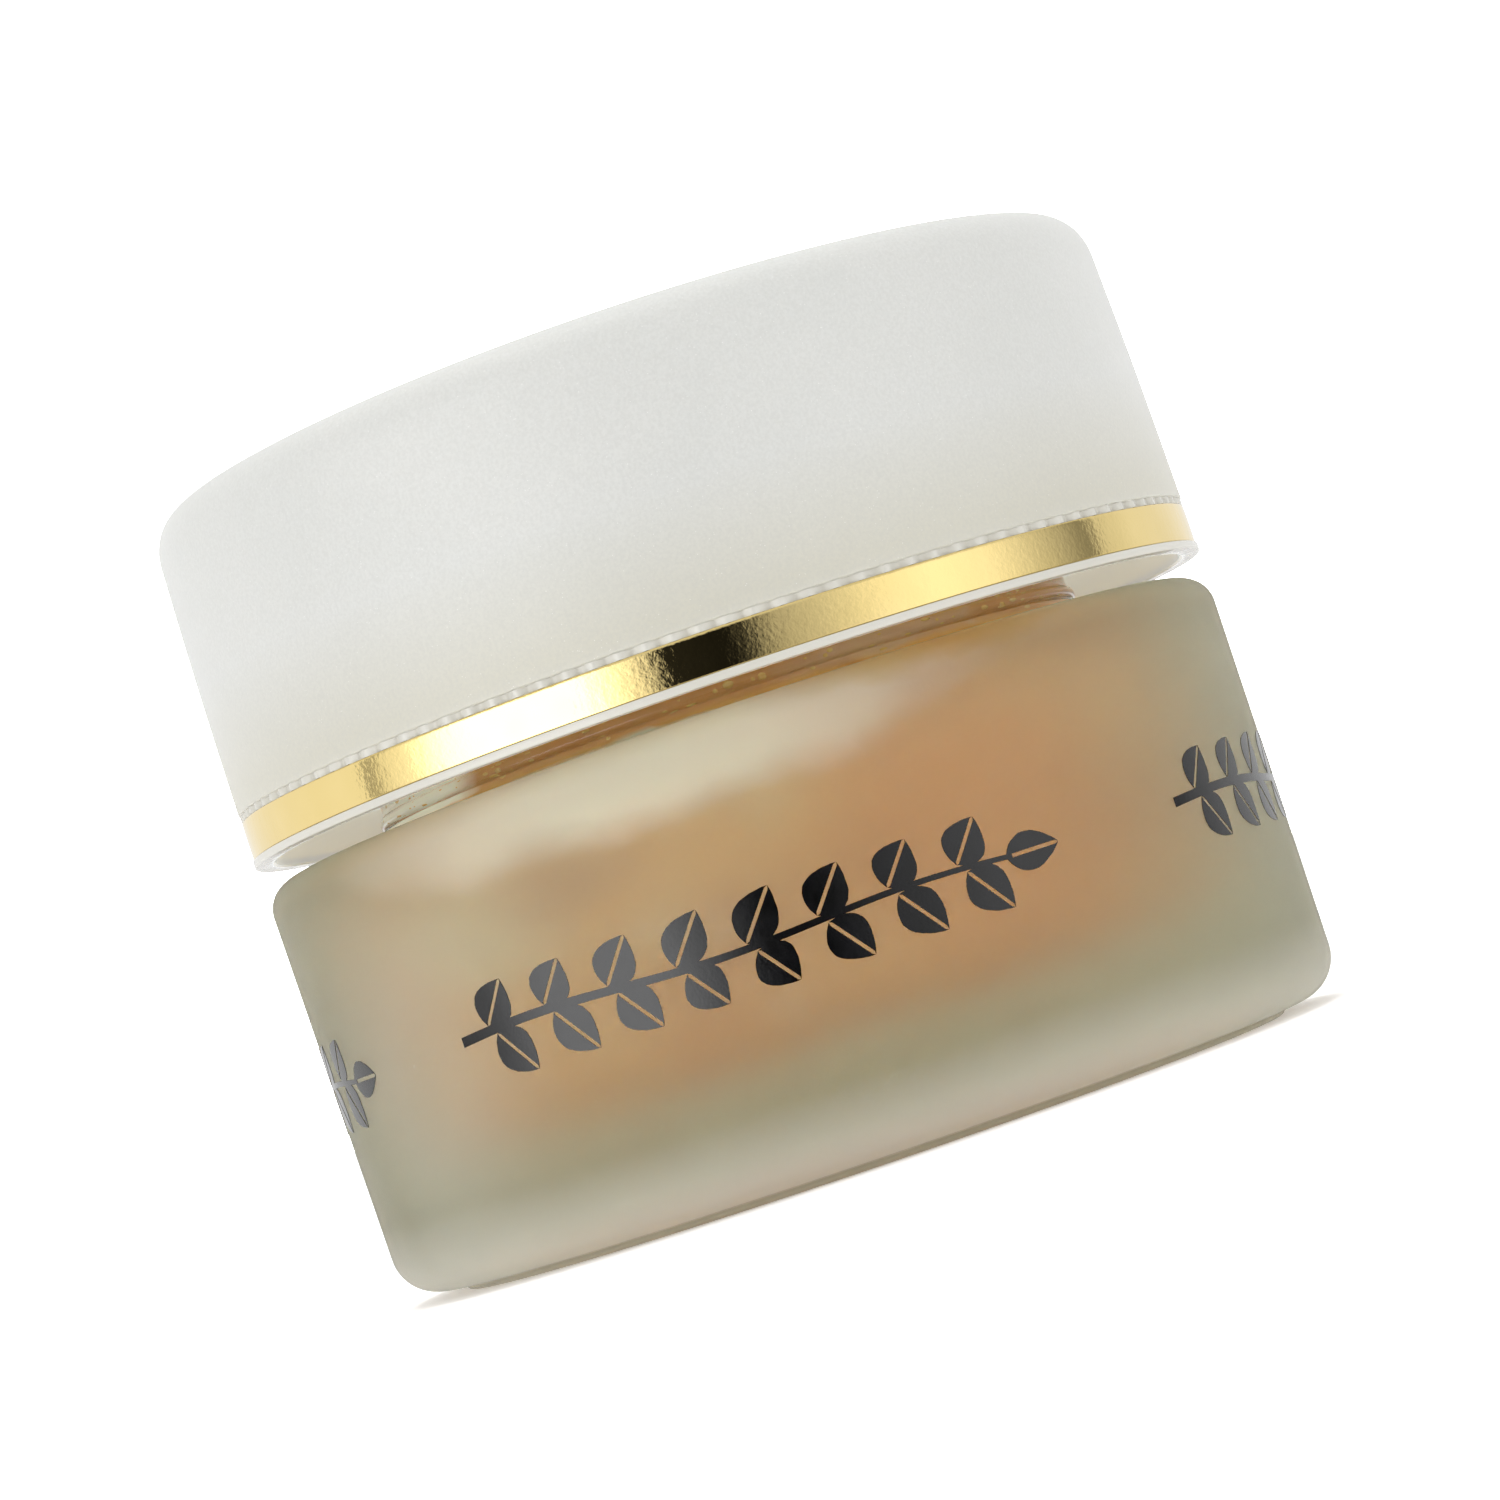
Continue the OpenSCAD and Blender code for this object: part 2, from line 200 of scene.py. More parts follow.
def glass_outline():
    """The glass, from the middle of the underside, up the outside, over the lip and down inside."""
    low_r = BODY_R - BODY_TAPER
    hollow_edge_z, hollow_steps = 0.3, 10
    foot_in, foot_out, foot_step = 0.35, 0.3, 0.1  # radii of the foot ring's edges
    wall_step, shoulder_step = 2.0, 1.5  # longest steps along the outline
    root_z = SHOULDER_Z + 0.25
    root_out, root_w, root_h = 1.0, 0.9, 0.6  # the fillet between shoulder and neck
    bead_z, bead_out, bead_half_h = root_z + 1.2, 0.35, 0.45
    thread_low, thread_high = bead_z + 0.6, NECK_TOP_Z - LIP_R - 2.6
    points = [
        (FOOT_INNER_R * i / hollow_steps, PUSH_UP_H - (PUSH_UP_H - hollow_edge_z) * (i / hollow_steps) ** 2)
        for i in range(hollow_steps + 1)
    ]
    points += corner(FOOT_INNER_R + foot_in, foot_in, foot_in, 180, 270, 4)
    points += corner(FOOT_R - foot_out, foot_out, foot_out, 270, 360, 5)
    points += corner(FOOT_R + foot_step, FOOT_H - foot_step, foot_step, 180, 90, 3)
    points += corner(low_r - HEEL_R, FOOT_H + HEEL_R, HEEL_R, -90, 0, 16)
    points += line(points[-1], (BODY_R, SHOULDER_Z - SHOULDER_EDGE_R), wall_step)
    points += corner(BODY_R - SHOULDER_EDGE_R, SHOULDER_Z - SHOULDER_EDGE_R, SHOULDER_EDGE_R, 8, 90, 12)
    points += line(points[-1], (NECK_R + root_out + root_h, root_z - 0.1), shoulder_step)
    points += arc(NECK_R + root_out, root_z + root_h, root_w, root_h, -80, -170, 6)
    points += arc(NECK_R, bead_z, bead_out, bead_half_h, -80, 80, 8)
    points += line((NECK_R, thread_low), (NECK_R, thread_high), THREAD_STEP)
    points += corner(NECK_R - LIP_R, NECK_TOP_Z - LIP_R, LIP_R, 0, 90, 8)
    points += corner(BORE_R + LIP_R, NECK_TOP_Z - LIP_R, LIP_R, 100, 180, 8)
    points += cavity_outline(CAVITY_TOP_Z + CAVITY_EASE_H + 2)
    return points


def shell_outline():
    """The outer shell, from its lower inside edge up the outside, over the dome and back inside."""
    edge_z = LID_EDGE_Z - TOP_EDGE_H
    edge_in = LID_TOP_R - TOP_EDGE_W
    low_r, low_z, low_round = LID_R - 0.05, SHELL_Z + 0.15, 0.15
    bulge = 0.06  # how far the wall swells between its ends
    wall_steps, dome_steps = 24, 12
    inner_top, inner_dome, inner_round = LID_EDGE_Z - 1.8, 0.45, 1.4
    points = [(SHELL_INNER_R, SHELL_Z)]
    points += corner(low_r - low_round, low_z, low_round, 270, 360, 4)
    for i in range(1, wall_steps + 1):
        t = i / wall_steps
        points.append(
            (low_r + (LID_TOP_R - low_r) * t + bulge * math.sin(math.pi * t), low_z + (edge_z - low_z) * t)
        )
    points += arc(edge_in, edge_z, TOP_EDGE_W, TOP_EDGE_H, 5, 90, 20)
    for i in range(1, dome_steps + 1):
        x = edge_in * (1 - i / dome_steps)
        points.append((x, LID_EDGE_Z + (LID_TOP_Z - LID_EDGE_Z) * (1 - (x / edge_in) ** 2)))
    points += [(0, inner_top + inner_dome)]
    points += corner(SHELL_INNER_R - inner_round, inner_top - inner_round, inner_round, 90, 0, 8)
    return points


def thread_height(angle, z, base_z, turn):
    """How far a thread stands out at one angle and height: rounded, and faded at its ends."""
    fullness = 1.6  # above 1, the thread's crest is flattened
    tallest = 0.0
    for s in range(STARTS):
        along = (angle - TURN * s / STARTS) % TURN
        if along > turn:
            continue
        fade = smooth(min(along, turn - along) / THREAD_FADE)
        off = abs(z - base_z - LEAD * along / TURN) / (THREAD_W / 2)
        tallest = max(tallest, fade * smooth((1 - off) * fullness))
    return tallest


# ------------------------------------------------------------------ meshes


def add_object(name, bm, smooth_angle=40):
    """Turns a bmesh in millimetres into a smooth-shaded object in metres."""
    bmesh.ops.recalc_face_normals(bm, faces=bm.faces)
    mesh = bpy.data.meshes.new(name)
    bm.transform(Matrix.Scale(MM, 4))
    bm.to_mesh(mesh)
    bm.free()
    mesh.polygons.foreach_set("use_smooth", [True] * len(mesh.polygons))
    mesh.set_sharp_from_angle(angle=math.radians(smooth_angle))
    obj = bpy.data.objects.new(name, mesh)
    bpy.context.scene.collection.objects.link(obj)
    return obj


def revolve(bm, points, segments=SEGMENTS, closed=False, shape=None):
    """Adds a turned surface. shape(r, z, angle), if given, moves each point in radius and height."""
    rings = []
    for r, z in points:
        if r < 1e-6:
            rings.append([bm.verts.new((0, 0, z))])
            continue
        ring = []
        for i in range(segments):
            angle = TURN * i / segments
            pr, pz = shape(r, z, angle) if shape else (r, z)
            ring.append(bm.verts.new((pr * math.cos(angle), pr * math.sin(angle), pz)))
        rings.append(ring)
    pairs = list(zip(rings, rings[1:]))
    if closed:
        pairs.append((rings[-1], rings[0]))
    for low, high in pairs:
        if len(low) == 1 and len(high) == 1:
            continue
        for i in range(segments):
            j = (i + 1) % segments
            if len(low) == 1:
                bm.faces.new((low[0], high[i], high[j]))
            elif len(high) == 1:
                bm.faces.new((low[i], low[j], high[0]))
            else:
                bm.faces.new((low[i], low[j], high[j], high[i]))
    return rings


def finish_piece(obj, body, material_slot, material, *nodes):
    """Gives a piece its body and its material, and hides the CAD nodes it stands for. Its material_slot is
    not used.
    """
    obj.data.materials.append(material)
    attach(obj, body)
    if nodes:
        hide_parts(*nodes)
    return obj


# ------------------------------------------------------------------ material helpers


class Shader:
    """A material with one Principled shader, and short ways to add the nodes that feed it."""

    def __init__(self, name, **values):
        self.material = bpy.data.materials.new(name)
        self.material.use_nodes = True
        self.nodes = self.material.node_tree.nodes
        self.links = self.material.node_tree.links
        self.bsdf = self.nodes["Principled BSDF"]
        self.output = self.nodes["Material Output"]
        self.coords = self.nodes.new("ShaderNodeTexCoord").outputs["Object"]
        for key, value in values.items():
            self.bsdf.inputs[key.replace("_", " ").title().replace("Ior", "IOR")].default_value = value

    def feed(self, socket, source):
        """Links an output to one of the shader's inputs."""
        self.links.new(source, self.bsdf.inputs[socket])

    def noise(self, size_mm, detail=2.0, roughness=0.5, distortion=0.0, stretch=None):
        """Noise whose features are about size_mm across. stretch scales the coordinates first."""
        node = self.nodes.new("ShaderNodeTexNoise")
        node.inputs["Scale"].default_value = 1 / (size_mm * MM)
        node.inputs["Detail"].default_value = detail
        node.inputs["Roughness"].default_value = roughness
        node.inputs["Distortion"].default_value = distortion
        source = self.coords
        if stretch:
            mapping = self.nodes.new("ShaderNodeMapping")
            mapping.inputs["Scale"].default_value = stretch
            self.links.new(self.coords, mapping.inputs["Vector"])
            source = mapping.outputs["Vector"]
        self.links.new(source, node.inputs["Vector"])
        return node.outputs["Fac"]

    def cells(self, size_mm):
        """Distance to the nearest of many scattered points about size_mm apart."""
        node = self.nodes.new("ShaderNodeTexVoronoi")
        node.inputs["Scale"].default_value = 1 / (size_mm * MM)
        self.links.new(self.coords, node.inputs["Vector"])
        return node.outputs["Distance"]

    def remap(self, source, from_low, from_high, to_low, to_high):
        """Maps a value from one range to another, clamped."""
        node = self.nodes.new("ShaderNodeMapRange")
        for socket, value in zip(range(1, 5), (from_low, from_high, to_low, to_high)):
            node.inputs[socket].default_value = value
        self.links.new(source, node.inputs["Value"])
        return node.outputs["Result"]

    def ramp(self, source, *stops):
        """A colour ramp. Each stop is (position, (r, g, b))."""
        node = self.nodes.new("ShaderNodeValToRGB")
        elements = node.color_ramp.elements
        while len(elements) < len(stops):
            elements.new(0.5)
        for element, (position, colour) in zip(elements, stops):
            element.position = position
            element.color = (*colour, 1)
        self.links.new(source, node.inputs["Fac"])
        return node.outputs["Color"]

    def mix(self, factor, first, second):
        """Mixes two colours or colour outputs by a factor or output."""
        node = self.nodes.new("ShaderNodeMix")
        node.data_type = "RGBA"
        for index, value in ((0, factor), (6, first), (7, second)):
            if isinstance(value, bpy.types.NodeSocket):
                self.links.new(value, node.inputs[index])
            else:
                node.inputs[index].default_value = (*value, 1) if isinstance(value, tuple) else value
        return node.outputs[2]

    def math(self, operation, first, second=0.0):
        """One Math node."""
        node = self.nodes.new("ShaderNodeMath")
        node.operation = operation
        for socket, value in zip(node.inputs, (first, second)):
            if isinstance(value, bpy.types.NodeSocket):
                self.links.new(value, socket)
            else:
                socket.default_value = value
        return node.outputs[0]

    def bump(self, height, distance_mm, strength=1.0, under=None):
        """Adds a bump to the shader's normal, on top of an earlier one if given."""
        node = self.nodes.new("ShaderNodeBump")
        node.inputs["Strength"].default_value = strength
        node.inputs["Distance"].default_value = distance_mm * MM
        self.links.new(height, node.inputs["Height"])
        if under is not None:
            self.links.new(under, node.inputs["Normal"])
        self.links.new(node.outputs["Normal"], self.bsdf.inputs["Normal"])
        return node.outputs["Normal"]

    def warped(self, size_mm, amount_mm):
        """Coordinates pushed about by soft noise, for edges that aren't geometric."""
        node = self.nodes.new("ShaderNodeTexNoise")
        node.inputs["Scale"].default_value = 1 / (size_mm * MM)
        node.inputs["Detail"].default_value = 3.0
        self.links.new(self.coords, node.inputs["Vector"])
        push = self.nodes.new("ShaderNodeVectorMath")
        push.operation = "MULTIPLY_ADD"
        push.inputs[1].default_value = (amount_mm * MM,) * 3
        self.links.new(node.outputs["Color"], push.inputs[0])
        shift = self.nodes.new("ShaderNodeMapping")
        shift.inputs["Location"].default_value = (-amount_mm * MM / 2,) * 3
        self.links.new(self.coords, shift.inputs["Vector"])
        self.links.new(shift.outputs["Vector"], push.inputs[2])
        return push.outputs[0]

    def patch(self, where, wall_r, degrees, z, half_w, half_h, soft=0.35):
        """A soft oval on a round wall: 1 in its middle, 0 outside. Sizes in millimetres.

        Its place is given by the angle from the front (-Y) towards +X, and the height."""
        angle = math.radians(degrees)
        centre = (wall_r * math.sin(angle), -wall_r * math.cos(angle), z)
        scale = (1 / (half_w * MM), 1 / (half_w * MM), 1 / (half_h * MM))
        mapping = self.nodes.new("ShaderNodeMapping")
        mapping.inputs["Scale"].default_value = scale
        mapping.inputs["Location"].default_value = [-c * MM * k for c, k in zip(centre, scale)]
        self.links.new(where, mapping.inputs["Vector"])
        length = self.nodes.new("ShaderNodeVectorMath")
        length.operation = "LENGTH"
        self.links.new(mapping.outputs["Vector"], length.inputs[0])
        return self.remap(length.outputs["Value"], 1 + soft, 1 - soft, 0, 1)

    def place(self):
        """Outputs for the radius from the jar's axis, and the height, in metres."""
        split = self.nodes.new("ShaderNodeSeparateXYZ")
        self.links.new(self.coords, split.inputs[0])
        x, y, z = split.outputs
        squares = self.math("ADD", self.math("MULTIPLY", x, x), self.math("MULTIPLY", y, y))
        return self.math("SQRT", squares), z


# ------------------------------------------------------------------ materials


def frosted_glass():
    """Pale green-grey glass: acid-frosted outside and underneath, clear on the neck and inside."""
    s = Shader("frosted_glass", ior=1.5)
    radius, height = s.place()
    outside = s.remap(radius, (NECK_R + 1.1) * MM, (NECK_R + 1.7) * MM, 0, 1)
    under_lid = s.remap(height, (SHOULDER_Z + 0.9) * MM, (SHOULDER_Z + 0.5) * MM, 0, 1)
    below = s.remap(height, 3.0 * MM, 2.0 * MM, 0, 1)
    frost = s.math("MAXIMUM", s.math("MULTIPLY", outside, under_lid), below)
    drift = s.warped(6.0, 3.0)
    # The pale band below the shoulder, at the front, is a milkier, paler frost and partly painted light: it
    # stands in for light scattered into the glass there.
    milk_and_glow = s.patch(drift, BODY_R, -13, 25.6, 16.3, 2.6, 0.4)
    left = s.patch(drift, BODY_R, -50, 13.0, 7.0, 9.0, 0.5)
    # Towards the foot the frost is milkier and a little paler, partly painted light: it stands in for the
    # light that the thick base carries onto the frost.
    heel = s.remap(height, 5.2 * MM, 1.3 * MM, 0, 1)
    clean, milk_glow_tone, grey_heel = (0.95, 0.95, 0.93), (0.91, 0.87, 0.73), (0.95, 0.94, 0.87)
    shoulder_shade_tone, amber_shade_tone = (0.76, 0.75, 0.68), (0.68, 0.60, 0.28)
    foot_ring_shade_tone, dust = (0.66, 0.61, 0.51), (0.98, 0.96, 0.88)
    milky = s.math("MULTIPLY", milk_and_glow, frost)
    outer = s.mix(s.math("MULTIPLY", heel, frost), clean, grey_heel)
    outer = s.mix(milky, outer, milk_glow_tone)
    # Painted shade: the frost turns greyer towards the shoulder wherever the pale band is not.
    shoulder = s.remap(height, 23.0 * MM, 26.5 * MM, 0, 0.7)
    shoulder = s.math("MULTIPLY", shoulder, s.math("SUBTRACT", frost, milky))
    outer = s.mix(shoulder, outer, shoulder_shade_tone)
    # Painted shade: a darker amber tone at the top of the shoulder, right of the front, standing in for the
    # shaded cream seen through the frost.
    warm_shade = s.patch(s.warped(4.0, 2.0), BODY_R, 24, 27.6, 7.0, 1.3, 0.4)
    outer = s.mix(s.math("MULTIPLY", warm_shade, 0.8), outer, amber_shade_tone)
    # Painted shade: the foot ring's side is darker, standing in for the shade where the jar meets the floor.
    ring = s.remap(height, (FOOT_H + 0.1) * MM, (FOOT_H - 0.05) * MM, 0, 1)
    outer = s.mix(ring, outer, foot_ring_shade_tone)
    specks = s.remap(s.cells(2.6), 0.030, 0.016, 0, 1)
    specks = s.math("MULTIPLY", specks, s.remap(s.noise(5.0, 1), 0.54, 0.58, 0, 1))
    specks = s.math("MULTIPLY", specks, frost)
    s.feed("Base Color", s.mix(specks, outer, dust))
    etch = s.remap(s.noise(0.09, 2, 0.6), 0.42, 0.58, 0.55, 0.62)
    cloud = s.remap(s.noise(4.0, 3), 0.3, 0.7, 0.94, 1.06)
    s.feed("Roughness", s.math("ADD", s.math("MULTIPLY", s.math("MULTIPLY", etch, cloud), frost), 0.02))
    grit = s.remap(s.noise(0.13, 1), 0.35, 0.65, 0.035, 0.075)
    veil = s.math("ADD", s.math("MULTIPLY", milk_and_glow, 0.26), s.math("MULTIPLY", heel, 0.26))
    veil = s.math("ADD", veil, s.math("MULTIPLY", left, 0.07))
    veil = s.math("MAXIMUM", s.math("ADD", veil, grit), specks)
    s.feed("Transmission Weight", s.math("SUBTRACT", 1.0, s.math("MULTIPLY", frost, veil)))
    foot = s.remap(height, 0.35 * MM, 0.15 * MM, 0, 1)
    stipple = s.bump(s.math("MULTIPLY", s.cells(0.9), foot), 0.12, 0.7)
    grain = s.math("MULTIPLY", s.noise(0.16, 2, 0.6), frost)
    s.bump(grain, 0.012, 0.55, stipple)
    absorb = s.nodes.new("ShaderNodeVolumeAbsorption")
    absorb.inputs["Color"].default_value = (0.60, 0.615, 0.40, 1)
    absorb.inputs["Density"].default_value = 42.0
    s.links.new(absorb.outputs[0], s.output.inputs["Volume"])
    return s.material


def cream_material():
    """Soft beige cream with paler, airy patches and darker, oilier ones where it meets the glass."""
    s = Shader("cream", roughness=0.42, ior=1.42, subsurface_weight=0.15, subsurface_scale=0.002)
    s.bsdf.inputs["Subsurface Radius"].default_value = (1.0, 0.5, 0.25)
    streaks = s.noise(9.0, 3, 0.55, 1.4, (1.0, 1.0, 1.7))
    colour = s.ramp(
        streaks,
        (0.30, (0.78, 0.36, 0.10)),
        (0.46, (0.95, 0.51, 0.17)),
        (0.62, (0.97, 0.56, 0.20)),
        (0.78, (0.93, 0.68, 0.40)),
    )
    _, height = s.place()
    colour = s.mix(s.remap(height, 12 * MM, 8 * MM, 0, 0.75), colour, (0.96, 0.44, 0.08))
    colour = s.mix(s.remap(height, 27.8 * MM, 28.6 * MM, 0, 0.55), colour, (0.84, 0.36, 0.12))
    where = s.warped(5.0, 5.0)
    pale, brown, deep = (0.96, 0.90, 0.74), (0.40, 0.20, 0.09), (0.88, 0.38, 0.07)
    patches = [  # angle, height, half width, half height, colour, strength
        (34, 16.5, 9.0, 8.0, deep, 0.9),
        (-15, 25.3, 12.5, 1.7, pale, 0.95),
        (-56, 21.2, 6.0, 2.6, pale, 0.6),
        (-46, 18.6, 4.0, 1.2, pale, 0.4),
        (-16, 16.6, 3.5, 1.2, pale, 0.3),
        (-32, 20.8, 3.2, 1.7, brown, 0.55),
        (4, 7.7, 3.8, 0.9, pale, 0.55),
        (-5, 9.5, 1.2, 1.7, pale, 0.5),
        (28, 29.5, 6.0, 2.0, pale, 0.25),
    ]
    for degrees, z, half_w, half_h, tone, strength in patches:
        mask = s.math("MULTIPLY", s.patch(where, CAVITY_R, degrees, z, half_w, half_h), strength)
        colour = s.mix(mask, colour, tone)
    # A pale air-pocket patch beside the neck, at the left. Its emission is a painted glow, standing in for
    # the light that passes through there.
    airy = s.patch(s.warped(3.0, 2.5), BORE_R, -72, 29.0, 7.6, 2.4, 0.2)
    s.feed("Base Color", s.mix(airy, colour, pale))
    s.bsdf.inputs["Emission Color"].default_value = (1.0, 0.93, 0.78, 1)
    s.feed("Emission Strength", s.math("MULTIPLY", airy, 0.22))
    s.bump(s.noise(1.6, 3), 0.12, 0.5)
    return s.material


def bubble_material():
    """Thin-skinned air bubbles in the cream, paler than the cream around them."""
    s = Shader("cream_bubbles", roughness=0.25, ior=1.42)
    s.feed("Base Color", s.ramp(s.noise(0.8), (0.3, (1.0, 0.60, 0.18)), (0.7, (1.0, 0.72, 0.28))))
    s.bump(s.noise(0.2), 0.01, 0.4)
    return s.material


def pearl_shell():
    """Satin pearl plastic: a fine moulded grain, a faint cloudiness, tiny pearl flakes and a painted warm
    shade towards the band.
    """
    s = Shader("pearl_shell", ior=1.48, subsurface_weight=0.3, subsurface_scale=0.002)
    s.bsdf.inputs["Subsurface Radius"].default_value = (1.0, 0.95, 0.85)
    s.bsdf.inputs["Sheen Weight"].default_value = 0.12
    s.bsdf.inputs["Sheen Roughness"].default_value = 0.35
    cloud = s.noise(11.0, 3, 0.5, 0.6)
    base = s.ramp(cloud, (0.3, (0.572, 0.577, 0.556)), (0.7, (0.590, 0.592, 0.571)))
    _, height = s.place()
    # Painted warm shade: darker and warmer towards the band.
    low = s.remap(height, (SHELL_Z + 8) * MM, (SHELL_Z + 1) * MM, 0, 0.8)
    base = s.mix(low, base, (0.518, 0.499, 0.415))
    base = s.mix(s.remap(s.noise(0.19, 2, 0.6), 0.35, 0.65, 0, 0.24), base, (0.42, 0.42, 0.40))
    flakes = s.remap(s.cells(0.22), 0.06, 0.16, 1, 0)
    picked = s.remap(s.noise(0.5, 1), 0.56, 0.62, 0, 1)
    sparkle = s.math("MULTIPLY", flakes, picked)
    s.feed("Base Color", s.mix(s.math("MULTIPLY", sparkle, 0.6), base, (0.92, 0.92, 0.90)))
    s.feed("Roughness", s.remap(sparkle, 0, 1, 0.42, 0.22))
    coarse = s.bump(s.noise(0.55, 2, 0.55), 0.016, 0.6)
    s.bump(s.noise(0.14, 2, 0.6), 0.006, 0.7, coarse)
    return s.material


def gold_metal():
    """Polished gold-coloured band with a faint orange-peel ripple."""
    s = Shader("gold_metal", metallic=1.0)
    tone = s.noise(5.0, 2)
    s.feed("Base Color", s.ramp(tone, (0.3, (0.87, 0.68, 0.28)), (0.7, (0.91, 0.72, 0.32))))
    s.feed("Roughness", s.remap(s.noise(1.2, 3), 0.3, 0.7, 0.03, 0.07))
    ripple = s.bump(s.noise(0.7, 3, 0.6, 0.4), 0.013, 0.9)
    s.bump(s.noise(0.25, 1), 0.008, 0.8, ripple)
    return s.material


def clear_plastic():
    """Slightly milky moulded plastic. Inside the rim it has a faint painted glow, standing in for the light
    that the rim carries inwards.
    """
    s = Shader("clear_plastic", ior=1.49)
    s.feed("Roughness", s.remap(s.noise(1.5, 2), 0.3, 0.7, 0.10, 0.20))
    s.bump(s.noise(0.8, 2), 0.01, 0.4)
    radius, height = s.place()
    past_skirt = s.remap(radius, (SKIRT_OUTER_R + 1) * MM, (SKIRT_OUTER_R + 3) * MM, 0, 1)
    inside_rim = s.remap(radius, (RIM_INNER_R + 0.4) * MM, (RIM_INNER_R + 0.1) * MM, 0, 1)
    hollow_glow = s.math("MULTIPLY", past_skirt, inside_rim)
    hollow_glow = s.math("MULTIPLY", hollow_glow, s.remap(height, (SHELL_Z + 2) * MM, RIB_Z * MM, 0.2, 1))
    # Painted light: a faint glow on the hollow inside the rim, strongest low down by the rim.
    s.bsdf.inputs["Emission Color"].default_value = (0.90, 0.97, 1.0, 1)
    s.feed("Emission Strength", s.math("MULTIPLY", hollow_glow, 0.21))
    rim = s.remap(radius, (RIM_INNER_R + 0.3) * MM, (RIM_INNER_R + 0.7) * MM, 0, 1)
    s.feed("Transmission Weight", s.remap(rim, 0, 1, 0.40, 0.10))
    s.feed("Base Color", s.mix(rim, (0.93, 0.93, 0.91), (0.585, 0.570, 0.515)))
    return s.material


def disc_plastic():
    """Natural polyethylene: waxy, slightly see-through white."""
    s = Shader("disc_plastic", ior=1.51, subsurface_weight=0.4, subsurface_scale=0.002)
    s.feed("Base Color", s.ramp(s.noise(6.0, 2), (0.3, (0.80, 0.80, 0.77)), (0.7, (0.86, 0.86, 0.83))))
    s.feed("Roughness", s.remap(s.noise(1.0, 2), 0.3, 0.7, 0.34, 0.46))
    s.bump(s.noise(0.3, 2), 0.008, 0.5)
    return s.material


def liner_foam():
    """White closed-cell foam with a smooth skin."""
    s = Shader("liner_foam", ior=1.45, roughness=0.65)
    s.feed("Base Color", s.ramp(s.noise(2.0, 3), (0.3, (0.83, 0.83, 0.81)), (0.7, (0.89, 0.89, 0.88))))
    s.bump(s.cells(0.35), 0.03, 0.6)
    return s.material


def black_ink():
    """Screen-printed black enamel, semi-gloss and slightly uneven."""
    s = Shader("black_ink", ior=1.52)
    s.feed("Base Color", s.ramp(s.noise(1.5, 3), (0.3, (0.002, 0.002, 0.002)), (0.7, (0.005, 0.005, 0.006))))
    s.feed("Roughness", s.remap(s.noise(0.6, 2), 0.3, 0.7, 0.13, 0.20))
    s.bump(s.noise(0.16, 2, 0.6), 0.008, 0.8)
    return s.material


# ------------------------------------------------------------------ pieces


def make_jar():
    """The glass jar, with its threads standing out of the neck."""
    def shape(r, z, angle):
        if abs(r - NECK_R) < 1e-6 and SHOULDER_Z + 1 < z < NECK_TOP_Z - LIP_R:
            r += THREAD_H * thread_height(angle, z, NECK_THREAD_Z, NECK_THREAD_TURN)
        return r, z

    bm = bmesh.new()
    revolve(bm, glass_outline(), shape=shape)
    finish_piece(add_object("jar_glass", bm), "jar", "frosted_glass", frosted_glass(), "jar_body")


def make_cream():
    """The cream: it wets the cavity's wall, and its top is a soft swirl."""
    top_z = cream_high[2] - 1.1  # the swirl's crests stay under the CAD solid's top
    wet = 0.04  # how far the cream reaches into the glass, so that no air shows between them
    top_r = BORE_R + wet
    swirl_h, peak_h, peak_w, sink = 0.55, 0.8, 3.2, 0.35
    top_steps = 60

    def shape(r, z, angle):
        if z < top_z - 0.01:
            return r, z
        inside = smooth((top_r - r) / 3.0)
        swirl = swirl_h * math.sin(2 * angle + r * 0.42) * smooth(r / 5.0)
        peak = peak_h * math.exp(-((r / peak_w) ** 2))
        return r, z + inside * (swirl + peak - sink)

    wall = cavity_outline(top_z, wet)
    top = [(top_r * i / top_steps, top_z) for i in range(top_steps)]
    bm = bmesh.new()
    revolve(bm, top + wall, shape=shape)
    finish_piece(add_object("cream_fill", bm, 60), "jar", "cream", cream_material(), "cream")


def make_bubbles():
    """Small flattened air bubbles where the cream meets the neck glass."""
    rng = random.Random(11)
    count, sizes = 230, (0.11, 0.14, 0.19, 0.28)
    zone_h, densest = 5.0, 1.3  # above the shoulder
    flatness = 0.35
    bm = bmesh.new()
    for _ in range(count):
        angle = rng.uniform(0, TURN)
        z = rng.triangular(SHOULDER_Z, SHOULDER_Z + zone_h, SHOULDER_Z + densest)
        size = rng.choice(sizes)
        spin = Matrix.Rotation(angle, 4, "Z")
        place = spin @ Matrix.Translation((BORE_R + 0.02, 0, z))
        flat = Matrix.Diagonal((flatness, rng.uniform(0.9, 1.5), 1.0, 1))
        bmesh.ops.create_icosphere(bm, subdivisions=2, radius=size, matrix=place @ flat)
    finish_piece(add_object("neck_bubbles", bm, 60), "jar", "cream", bubble_material())


def make_shell():
    """The lid's outer shell."""
    bm = bmesh.new()
    revolve(bm, shell_outline(), closed=True)
    bmesh.ops.remove_doubles(bm, verts=bm.verts, dist=1e-5)
    finish_piece(add_object("lid_shell", bm, 35), "lid", "pearl_shell", pearl_shell(), "outer_cap")


def make_band():
    """The gold band: a thin hoop, slightly crowned, with softened edges."""
    low, high = band_low[2], band_high[2]
    face, edge, crown, steps = LID_R - 0.1, 0.1, 0.015, 10
    points = [(GROOVE_R, high), (GROOVE_R, low)]
    points += corner(face - edge, low + edge, edge, 270, 350, 4)
    for i in range(1, steps):
        t = i / steps
        points.append((face + crown * math.sin(math.pi * t), low + (high - low) * t))
    points += corner(face - edge, high - edge, edge, 10, 90, 4)
    bm = bmesh.new()
    revolve(bm, points, closed=True)
    finish_piece(add_object("gold_band", bm, 50), "lid", "gold_metal", gold_metal(), "metal_band")


